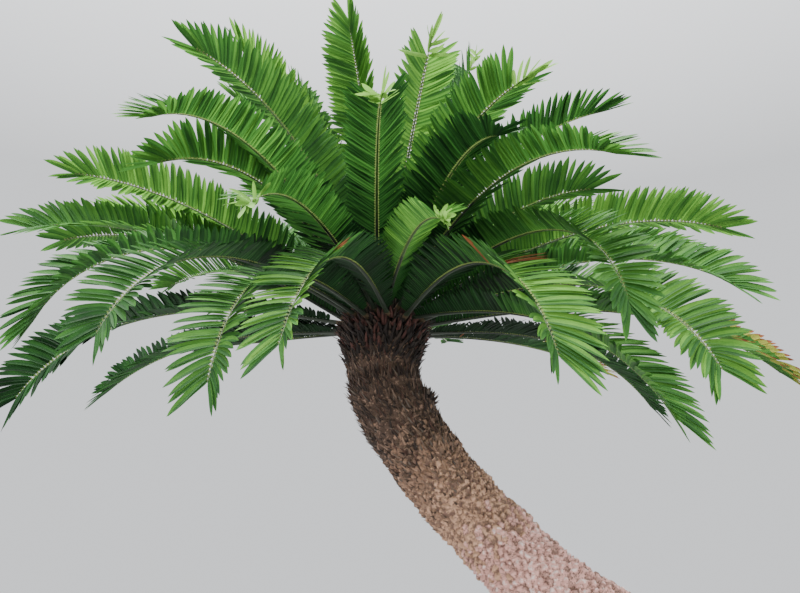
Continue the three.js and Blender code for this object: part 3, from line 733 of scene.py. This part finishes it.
# The trunk. A share is a place between its stations, and a run is a distance along it.
def trunk_at(share):
    """Centre and radius at shares of the trunk, on a smooth curve through its stations."""
    last = len(TRUNK_STATIONS) - 1
    whole = np.minimum(np.floor(share * last), last - 1).astype(int)
    t = (share * last - whole)[:, None]
    a, b, c, d = (TRUNK_STATIONS[np.clip(whole + k, 0, last)] for k in (-1, 0, 1, 2))
    cubic = (3 * b - a - 3 * c + d) * t ** 3
    value = 0.5 * (2 * b + (c - a) * t + (2 * a - 5 * b + 4 * c - d) * t * t + cubic)
    return value[:, :3], value[:, 3]


def trunk_frame(share):
    """Centre and radius of the trunk, and directions along, across and through it."""
    centre, radius = trunk_at(share)
    ahead, _ = trunk_at(np.minimum(share + 0.01, 1))
    behind, _ = trunk_at(np.maximum(share - 0.01, 0))
    level = 1 - ease(0, 0.03, share) * (1 - ease(0.97, 1, share))
    along = unit(mix(unit(ahead - behind), UP, level[:, None]))
    across = unit(np.cross(TRUNK_LEAN_NORMAL, along))
    through = np.cross(along, across)
    inner = (share >= 0.06) & (share <= 0.94)
    band = np.where(inner, FLUSH_SWELL * np.cos(2 * math.pi * FLUSH_BANDS * share), 0)
    return centre, radius * (1 + band), along, across, through


def trunk_lengths():
    """Distance along the trunk's centre line for a fine row of shares."""
    share = np.linspace(0, 1, 2001)
    centre, _ = trunk_at(share)
    steps = np.linalg.norm(np.diff(centre, axis=0), axis=1)
    return share, np.concatenate([[0], np.cumsum(steps)])


def knob_field():
    """How far each old leaf base is off its place on the spiral rows, and how tall it is."""
    rows = int(TRUNK_RUNS[-1] / KNOB_ROW) + 6
    slip = spread(KNOB_SLIP, (rows, KNOBS_ROUND))
    lift = spread(KNOB_LIFT, (rows, KNOBS_ROUND))
    tall = chance.uniform(*KNOB_RISE, (rows, KNOBS_ROUND))
    return slip, lift, tall


def knob_relief(turn, run, radius):
    """Height of the leaf-base armour, which knob each point is on, and where on the knob it is."""
    slip, lift, tall = KNOBS
    step = 2 * math.pi / KNOBS_ROUND
    row = np.floor(run / KNOB_ROW).astype(int) + 2  # two rows lie below the soil
    nearest = np.full(turn.shape, np.inf)
    second = np.full(turn.shape, np.inf)
    owner = np.zeros(turn.shape, int)
    rise = np.zeros(turn.shape)
    above = np.zeros(turn.shape)
    for down in (-1, 0, 1, 2):
        r = np.clip(row + down, 0, len(tall) - 1)
        shift = 0.5 * (r % 2) + KNOB_ROW_DRIFT * r
        middle = np.round(turn / step - shift).astype(int)
        for beside in (-1, 0, 1):
            c = middle + beside
            k = c % KNOBS_ROUND
            dx = (turn - (c + shift + slip[r, k]) * step) * radius
            dy = (run - (r - 2 + lift[r, k]) * KNOB_ROW) * KNOB_SQUASH
            away = np.hypot(dx, dy)
            closer = away < nearest
            second = np.where(closer, nearest, np.minimum(second, away))
            nearest = np.where(closer, away, nearest)
            owner = np.where(closer, r * KNOBS_ROUND + k, owner)
            rise = np.where(closer, tall[r, k], rise)
            above = np.where(closer, dy, above)
    crest = np.clip((second - nearest) / KNOB_EDGE, 0, 1)
    height = rise * crest * (2 - crest) + KNOB_TILT * above * crest
    return height, owner, crest, above


def grain_field(size):
    """Draws on a net of the given mesh width, wrapped round the trunk."""
    return size, spread(1.0, (int(TRUNK_RUNS[-1] / size) + 3, int(1.2 / size)))


def grain(field, turn, run):
    """Soft lumps between the draws of a net."""
    size, draws = field
    across, up = turn / (2 * math.pi) * draws.shape[1], run / size
    left, low = np.floor(across).astype(int), np.floor(up).astype(int)
    x, y = ease(0, 1, across - left), ease(0, 1, up - low)
    left, right = left % draws.shape[1], (left + 1) % draws.shape[1]
    below, above = (mix(draws[row, left], draws[row, right], x) for row in (low, low + 1))
    return mix(below, above, y)


TRUNK_SHARES, TRUNK_RUNS = trunk_lengths()
KNOBS = knob_field()
LUMPS = [grain_field(size) for size in (0.060, 0.017, 0.0085)]
PUSHES = [grain_field(size) for size in (0.022, 0.022, 0.090, 0.090)]


def trunk_piece(name, first, last, rows, replaces=()):
    """The armoured skin of the trunk between two parts of its length."""
    run = np.linspace(first, last, rows) * TRUNK_RUNS[-1]
    share = np.interp(run, TRUNK_RUNS, TRUNK_SHARES)
    centre, radius, _, across, through = trunk_frame(share)
    turns, runs = np.meshgrid(circle(TRUNK_COLUMNS), run)
    aside, ahead, aside_far, ahead_far = (grain(field, turns, runs) for field in PUSHES)
    pushed_turns = turns + (PUSH * aside + PUSH_FAR * aside_far) / radius[:, None]
    pushed_runs = runs + PUSH * ahead + PUSH_FAR * ahead_far
    relief, owner, crest, above = knob_relief(pushed_turns, pushed_runs, radius[:, None])
    broad, lumps, crumbs = (grain(field, turns, runs) for field in LUMPS)
    relief = relief * (1 + BROAD_SWELL * broad) + LUMP_RISE * lumps + CRUMB_RISE * crumbs
    calm = ease(0.0, 0.02, share) * (1 - ease(0.985, 1.0, share))
    calm = calm * mix(1, NECK_RELIEF, ease(0.62, 0.78, share))
    reach = radius[:, None] + (relief - SKIN_SINK) * calm[:, None] - 0.001
    out = swung(across[:, None], through[:, None], turns)
    points = centre[:, None] + out * reach[..., None]
    spot = 0.60 * crest + 0.34 * lumps + 0.28 * crumbs + spread(0.20, crest.shape)
    # Painted shade: the trunk's downward-facing side is browner and its upward-facing side rosier.
    level = share[:, None] - 0.022 * out[..., 2] + 0.045 * broad
    tints = bark_tints(owner[:-1], level[:-1], spot[:-1], above[:-1])
    make_piece(name, tube_shape(points, tints), BARKS, replaces)


def bark_tints(owner, level, spot, above):
    """Which bark each patch has: rosy grey low on the trunk, ochre above it, then browns."""
    luck = (owner * 7919 % 101) / 100  # the same all over a knob
    level = level + 0.09 * (luck - 0.5)
    # Painted light: a patch is lighter on a knob's crest and upper side, with random pale glints,
    # and darker on its lower side.
    high = spot + 14 * above + 0.45 * (luck - 0.5)
    gap, dip, top, crest = np.quantile(high, (0.07, 0.32, 0.56, 0.87))
    # Painted shade: the gaps between knobs and the lowest patches take the darkest bark of their
    # band.
    gap_parts = [level > GAP_SHADE_DARK_FROM, level > GAP_SHADE_BROWN_FROM]
    gaps = np.select(gap_parts, [GAP_DEEP_SHADE, BROWN_DARK_AND_SHADE], GAP_SHADE)
    dark = np.where(high > crest, BROWN, BROWN_DARK_AND_SHADE)
    brown = np.where(high > top, OCHRE, BROWN)
    # Each band steps one bark lighter on the crests as painted highlight: ochre in the brown band,
    # brown in the dark band.
    ochre = np.select([high > top, high > dip], [OCHRE_HIGHLIGHT, OCHRE], BROWN)
    foot = np.select([high > crest, high > dip], [ROSY, ROSY_DULL_AND_SHADE], GAP_SHADE)
    rosy = np.select([high > crest, high > dip], [ROSY_HIGHLIGHT, ROSY], ROSY_DULL_AND_SHADE)
    parts = [
        high < gap, level > DARK_FROM, level > BROWN_FROM, level > OCHRE_FROM,
        level < DULL_BEFORE - DULL_VARIES * luck,
    ]
    return np.select(parts, [gaps, dark, brown, ochre, foot], rosy)


# Dry scales: on the neck, the collar, the head and the buds, and as chips on the soil.
def scales(root, reach, right, length, width, curl, thick, blunt, tints, steps=SCALE_STEPS):
    """Flat spikes that curl outward; their thickness is a share of their width."""
    u = np.linspace(0, 1, steps)[None, :]
    spine = root[:, None] + reach[:, None] * (length[:, None] * u)[..., None]
    spine = spine + curl[:, None] * (length[:, None] * u * u)[..., None]
    taper = (1 - u) ** 0.75 * (1 - blunt) + blunt * (1 - u ** 5)
    half_width = width[:, None] / 2 * np.maximum(taper, NARROWEST_TIP)
    lift = unit(np.cross(right, reach))
    sides = right[:, None], lift[:, None], half_width, half_width * thick
    return tube_shape(tube_points(spine, *sides, SCALE_SIDES), tints)


def neck_scales(count=3100):
    """The shaggy upper trunk: frayed scales that stand up and out, longer towards the crown."""
    k = np.arange(count) + 0.5
    turn = spiral(count) + spread(0.12, count)
    share = mix(*NECK, (k / count) ** 0.75) + spread(0.004, count)
    centre, radius, along, across, through = trunk_frame(share)
    out = swung(across, through, turn)
    right = np.cross(along, out)
    grown = ease(0.56, 0.76, share)
    lean = np.radians(mix(*NECK_LEAN, grown) + spread(10, count))
    drift = right * spread(0.45, count)[:, None]
    reach = unit(swung(along, out, lean) + drift)
    length = mix(*NECK_LENGTH, grown) * chance.uniform(0.6, 1.3, count)
    width = mix(*NECK_WIDTH, grown) * chance.uniform(0.7, 1.3, count)
    curl = out * spread(0.16, count)[:, None] + right * spread(0.30, count)[:, None]
    root = centre + out * (radius - mix(*NECK_ROOT, grown))[:, None]
    upper = chance.choice(
        [SCALE_BROWN, SCALE_DARK, SCALE_TAN, SCALE_GREY, SCALE_RUSSET],
        count, p=[0.26, 0.46, 0.06, 0.10, 0.12])
    lower = chance.choice(
        [SCALE_BROWN, SCALE_DARK, SCALE_TAN, SCALE_GREY, SCALE_RUSSET, SCALE_OCHRE],
        count, p=[0.16, 0.03, 0.40, 0.06, 0.08, 0.27])
    tints = np.where(chance.random(count) < grown, upper, lower)
    right = unit(np.cross(reach, out))
    return scales(root, reach, right, length, width, curl, 0.42, 0.30, tints)


def collar_fringe(rows=13, each=56):
    """The flaring ring of dry leaf feet under the fronds, in overlapping rows like blunt petals."""
    count = rows * each
    row = np.repeat(np.arange(rows), each)
    level = row / (rows - 1)
    turn = np.tile(np.arange(each), rows) * 2 * math.pi / each + 0.5 * row + spread(0.07, count)
    out = ring(turn)
    radius = mix(*FRINGE_RADIUS, np.minimum(1, 1.4 * level))
    height = mix(COLLAR_FOOT - 0.030, COLLAR_TOP + 0.050, level)
    root = HEAD * [1, 1, 0] + out * radius[:, None] + UP * height[:, None]
    lean = np.radians(mix(*FRINGE_LEAN, level) + spread(20, count))
    drift = np.cross(UP, out) * spread(0.35, count)[:, None]
    reach = unit(swung(UP, out, lean) + drift)
    length = mix(*FRINGE_LENGTH, level) * chance.uniform(0.65, 1.2, count)
    width = FRINGE_WIDTH * chance.uniform(0.65, 1.3, count)
    curl = UP * spread(0.30, count)[:, None] - out * (0.15 * level * chance.random(count))[:, None]
    darks = chance.choice([COLLAR_DARK, COLLAR_BROWN], count, p=[0.56, 0.44])
    russet = chance.random(count) < mix(0.06, 0.62, level * level)
    tints = np.where(russet, COLLAR_RUSSET, darks)
    right = unit(np.cross(reach, UP))
    return scales(root, reach, right, length, width, curl, 0.36, 0.45, tints)


def collar_core():
    """The dark funnel behind the fringe."""
    profile = np.array([
        (COLLAR_FOOT_RADIUS - 0.022, COLLAR_FOOT),
        (COLLAR_FOOT_RADIUS - 0.006, COLLAR_FOOT + 0.05),
        (COLLAR_TOP_RADIUS - 0.045, COLLAR_TOP - 0.03),
        (COLLAR_TOP_RADIUS - 0.060, COLLAR_TOP - 0.012),
    ])
    return tube_shape(turned_points(profile, 48) + HEAD * [1, 1, 0], [COLLAR_DARK])


def head_surface(rows=25, columns=48):
    """The domed growing head, a little rough, just inside its solid."""
    fine = np.linspace(0, len(HEAD_PROFILE) - 1, rows)
    marks = np.arange(len(HEAD_PROFILE))
    radius, height = (np.interp(fine, marks, HEAD_PROFILE[:, k]) - 0.004 for k in (0, 1))
    rough = 1 + spread(0.02, (rows, columns))
    points = ring(circle(columns)) * (np.maximum(radius, 0.001)[:, None] * rough)[..., None]
    points = points + [HEAD[0], HEAD[1], HEAD_BASE] + UP * height[:, None, None]
    return tube_shape(points, [COLLAR_DARK])


def head_scales(count=420):
    """Woolly bud scales between the fronds' feet."""
    share = np.sqrt((np.arange(count) + 0.5) / count)
    out = HEAD_REACH * share
    flat = ring(spiral(count, 0.4))
    height = np.interp(out, HEAD_PROFILE[::-1, 0], HEAD_PROFILE[::-1, 1]) - 0.014
    root = flat * out[:, None] + [HEAD[0], HEAD[1], HEAD_BASE] + UP * height[:, None]
    lean = np.radians(mix(*HEAD_LEAN, share) + spread(12, count))
    reach = unit(swung(UP, flat, lean))
    length = mix(*HEAD_LENGTH, share) * chance.uniform(0.7, 1.2, count)
    width = HEAD_WIDTH * chance.uniform(0.8, 1.25, count)
    curl = flat * spread(0.15, count)[:, None]
    finishes = [COLLAR_RUSSET, COLLAR_DARK, COLLAR_BROWN]
    tints = chance.choice(finishes, count, p=[0.34, 0.42, 0.24])
    return scales(root, reach, np.cross(UP, flat), length, width, curl, 0.4, 0.3, tints)


def bud_scales(place, radius, height, count=70):
    """A small offset shoot: overlapping dry scales round a knob."""
    flat = ring(spiral(count))
    climb = mix(-0.9, 1.35, (np.arange(count) + 0.5) / count)
    out = unit(swung(flat, UP, climb))
    root = np.array(place) + out * np.array([radius, radius, height * 0.55]) * 0.78
    reach = unit(out * 0.75 + UP * 0.75 + flat * 0.15)
    right = unit(np.cross(reach, out + UP * 0.01 + flat * 0.2))
    length = BUD_LENGTH * radius * chance.uniform(0.7, 1.2, count)
    width = BUD_WIDTH * radius * chance.uniform(0.8, 1.2, count)
    tints = chance.choice([SCALE_BROWN, SCALE_DARK, SCALE_DARK, SCALE_GREY], count)
    return scales(root, reach, right, length, width, out * 0.05, 0.4, 0.0, tints)


def bud_core(place, radius, height):
    """The knob behind a bud's scales."""
    marks = np.linspace(-0.5, 0.5, 11) * math.pi
    wide = 0.84 * radius * np.maximum(np.cos(marks), 0.02)
    profile = np.stack([wide, 0.46 * height * np.sin(marks)], -1)
    return tube_shape(turned_points(profile, 20) + np.array(place), [SCALE_DARK])


# The pot and its soil.
def rounded(corners, radius=0.009, steps=4):
    """A profile whose inner corners are turned into small curves."""
    path = [corners[0]]
    for before, corner, after in zip(corners, corners[1:], corners[2:]):
        before, corner, after = map(np.array, (before, corner, after))
        ends = [
            corner + unit(end - corner) * min(radius, np.linalg.norm(end - corner) * 0.45)
            for end in (before, after)
        ]
        for t in np.linspace(0, 1, steps):
            path.append(mix(mix(ends[0], corner, t), mix(corner, ends[1], t), t))
    path.append(corners[-1])
    return np.array(path, float)


def pot_radius(height):
    """Outside radius of the pot's wall."""
    return mix(POT_FOOT_RADIUS, POT_TOP_RADIUS, height / POT_HEIGHT)


def pot_shape():
    """A plain round pot, flat underneath, with a thick rim."""
    rim_foot = POT_HEIGHT - POT_RIM_HEIGHT
    rim_radius = POT_TOP_RADIUS + POT_RIM_WIDTH
    profile = rounded([
        (0.001, 0.0),
        (POT_FOOT_RADIUS, 0.0),
        (pot_radius(rim_foot), rim_foot),
        (rim_radius, rim_foot + 0.012),
        (rim_radius, POT_HEIGHT),
        (POT_TOP_RADIUS - POT_WALL + 0.006, POT_HEIGHT),
        (pot_radius(POT_FLOOR) - POT_WALL, POT_FLOOR),
        (0.001, POT_FLOOR),
    ])
    return tube_shape(turned_points(profile, 128), [0])


def soil_surface(rings=46, columns=150):
    """The crumbled top of the soil."""
    out = np.linspace(0.0, POT_TOP_RADIUS - POT_WALL - 0.006, rings)
    profile = np.stack([np.maximum(out, 0.001), 0 * out + SOIL_TOP - 0.006], -1)
    points = turned_points(profile, columns)
    swells = 0.006 * np.sin(17 * points[..., 0]) * np.cos(13 * points[..., 1])
    points[..., 2] += spread(0.004, (rings, columns)) + swells
    points, faces, tints = tube_shape(points, [0])
    return points, faces[:, ::-1], tints


def soil_chips(count=520):
    """Chips of bark that lie on the soil."""
    far = np.sqrt(chance.uniform(0.30, 0.88, count)) * POT_TOP_RADIUS
    turn = chance.uniform(0, 2 * math.pi, count)
    root = ring(turn) * far[:, None] + UP * (SOIL_TOP + 0.001)
    reach = unit(np.stack([spread(1, count), spread(1, count), spread(0.12, count)], -1))
    length = chance.uniform(*CHIP_LENGTH, count)
    width = length * chance.uniform(0.35, 0.7, count)
    tints = chance.choice([SCALE_BROWN, SCALE_DARK, SCALE_TAN, SCALE_GREY], count)
    right = unit(np.cross(reach, UP))
    return scales(root, reach, right, length, width, reach * 0, 0.45, 0.9, tints, steps=4)


# Studio.
def add_floor(reach=30):
    """A wide grey floor under the pot."""
    mesh = bpy.data.meshes.new("studio_floor")
    corners = [(-reach, -reach, 0), (reach, -reach, 0), (reach, reach, 0), (-reach, reach, 0)]
    mesh.from_pydata(corners, [], [(0, 1, 2, 3)])
    mesh.materials.append(floor_finish())
    floor = bpy.data.objects.new("studio_floor", mesh)
    bpy.context.scene.collection.objects.link(floor)


def add_light(name, place, target, size, power, colour=(1, 1, 1)):
    """A square lamp that faces its target."""
    data = bpy.data.lights.new(name, "AREA")
    data.energy = power
    data.size = size
    data.color = colour
    light = bpy.data.objects.new(name, data)
    light.location = place
    away = np.array(target, float) - np.array(place, float)
    yaw = math.atan2(away[1], away[0])
    pitch = math.atan2(away[2], math.hypot(away[0], away[1]))
    light.rotation_euler = (math.pi / 2 + pitch, 0, yaw - math.pi / 2)
    bpy.context.scene.collection.objects.link(light)


def add_sky(level, overhead):
    """Soft light from all round, stronger from above."""
    world = bpy.data.worlds.new("studio_air")
    world.use_nodes = True
    tree = world.node_tree
    air = tree.nodes["Background"]
    air.inputs["Color"].default_value = (0.95, 0.97, 1.0, 1)
    place = tree.nodes.new("ShaderNodeTexCoord")
    split = tree.nodes.new("ShaderNodeSeparateXYZ")
    rise = tree.nodes.new("ShaderNodeMapRange")
    rise.inputs["From Min"].default_value = 0.45
    rise.inputs["From Max"].default_value = 1.0
    rise.inputs["To Min"].default_value = level
    rise.inputs["To Max"].default_value = overhead
    tree.links.new(place.outputs["Generated"], split.inputs["Vector"])
    tree.links.new(split.outputs["Z"], rise.inputs["Value"])
    tree.links.new(rise.outputs["Result"], air.inputs["Strength"])
    bpy.context.scene.world = world


def add_camera():
    """Stands where the trunk leaves the picture, and looks up into the crown."""
    data = bpy.data.cameras.new("portrait")
    data.lens = 36.1
    data.sensor_width = 36.0
    data.clip_end = 100
    camera = bpy.data.objects.new("portrait", data)
    camera.location = (-1.300, -3.600, 1.500)
    camera.rotation_euler = (math.radians(90 + 20), 0, 0)
    bpy.context.scene.collection.objects.link(camera)
    bpy.context.scene.camera = camera


add_camera()
make_piece("pot_body", pot_shape(), [pot_finish()], ["pot"])
make_piece("soil_top", soil_surface(), [LOAM], ["soil"])
make_piece("soil_chips", soil_chips(), SCALES)
trunk_piece("trunk_lower", 0.0, 0.52, 310, ["trunk"])
trunk_piece("trunk_upper", 0.52, 1.0, 250)
make_piece("neck_scales", neck_scales(), SCALES)
make_piece("collar_fringe", joined([collar_core(), collar_fringe()]), COLLARS, ["collar"])
head = joined([head_surface(), head_scales()])
make_piece("head_dome", head, COLLARS, ["crown_head"])
for bud, sizes in BUDS.items():
    shape = joined([bud_core(*sizes), bud_scales(*sizes)])
    make_piece(bud + "_scales", shape, SCALES, [bud])
grow_crown()

add_floor()
add_light("roof_light", (-2.5, -1.0, 9.0), (-1.4, 0.5, 2.8), 5.0, 2400, (1.0, 0.985, 0.95))
add_light("front_light", (1.5, -6.0, 3.5), (-1.2, 0.5, 2.0), 4.0, 220)
add_sky(1.0, 3.2)
